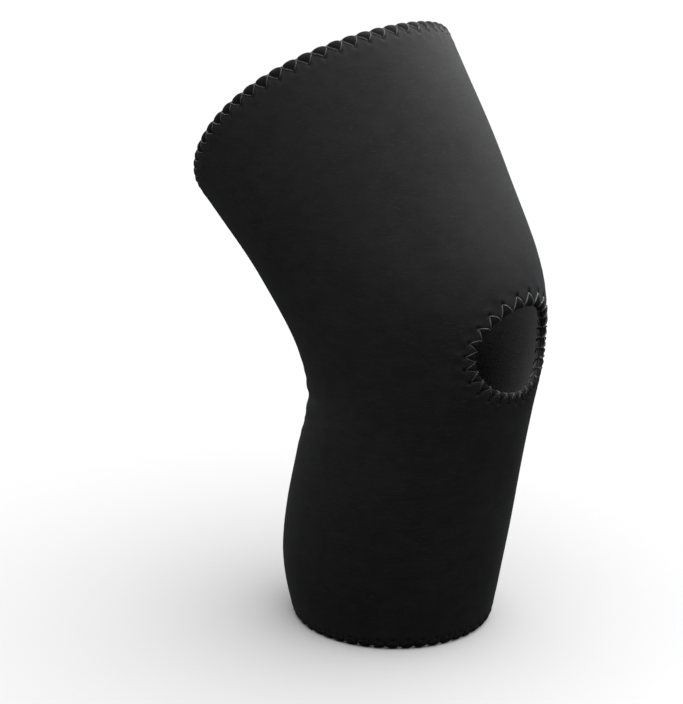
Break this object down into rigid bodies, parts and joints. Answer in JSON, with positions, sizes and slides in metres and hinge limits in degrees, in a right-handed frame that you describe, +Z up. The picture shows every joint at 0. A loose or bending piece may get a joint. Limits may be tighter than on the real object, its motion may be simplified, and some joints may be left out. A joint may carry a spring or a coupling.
{
  "type": "open-patella knee sleeve",
  "caption": "Neoprene knee sleeve shaped to a slightly bent knee, with an oval knee-cap opening, zigzag-stitched scalloped hems and a flatlocked seam down the back.",
  "frame": {"origin": "on the surface that the bottom hem stands on, under the middle of the sleeve's bounding box", "axes": "+Z up from the calf hem to the thigh hem, -Y forward where the knee cap is, X across the knee along the bending axis"},
  "size_m": [0.1462, 0.181, 0.3032],
  "materials": {
    "outer_jersey": "matte black stretch nylon jersey with a soft sheen",
    "neoprene": "matte black closed-cell foam, light as fabric",
    "lining_jersey": "matte charcoal brushed jersey",
    "grey_thread": "dark grey bulked nylon looper thread",
    "black_thread": "black bulked nylon looper thread",
    "label_tape": "blank grey woven tape"
  },
  "bodies": {
    "calf_section": {"calf_outer_fabric": "outer_jersey", "calf_neoprene_core": "neoprene", "calf_inner_lining": "lining_jersey", "calf_back_seam_thread": "black_thread", "knee_outer_fabric": "outer_jersey", "knee_neoprene_core": "neoprene", "knee_inner_lining": "lining_jersey", "knee_back_seam_thread": "black_thread", "patella_opening_outer_thread": "grey_thread", "patella_opening_inner_thread": "grey_thread", "bottom_hem_outer_thread": "black_thread", "bottom_hem_inner_thread": "black_thread"},
    "thigh_section": {"thigh_outer_fabric": "outer_jersey", "thigh_neoprene_core": "neoprene", "thigh_inner_lining": "lining_jersey", "thigh_back_seam_thread": "black_thread", "top_hem_outer_thread": "grey_thread", "top_hem_inner_thread": "grey_thread", "care_label": "label_tape"}
  },
  "joints": [
    {"name": "knee_flexion", "type": "hinge", "parent": "calf_section", "child": "thigh_section", "pos_m": [0, -0.0235, 0.13], "axis": [-1, 0, 0], "range_deg": [-40, 55], "stiffness_Nm_per_rad": 1.5, "deforming": ["knee_outer_fabric", "knee_neoprene_core", "knee_inner_lining", "knee_back_seam_thread", "patella_opening_outer_thread", "patella_opening_inner_thread"]}
  ]
}
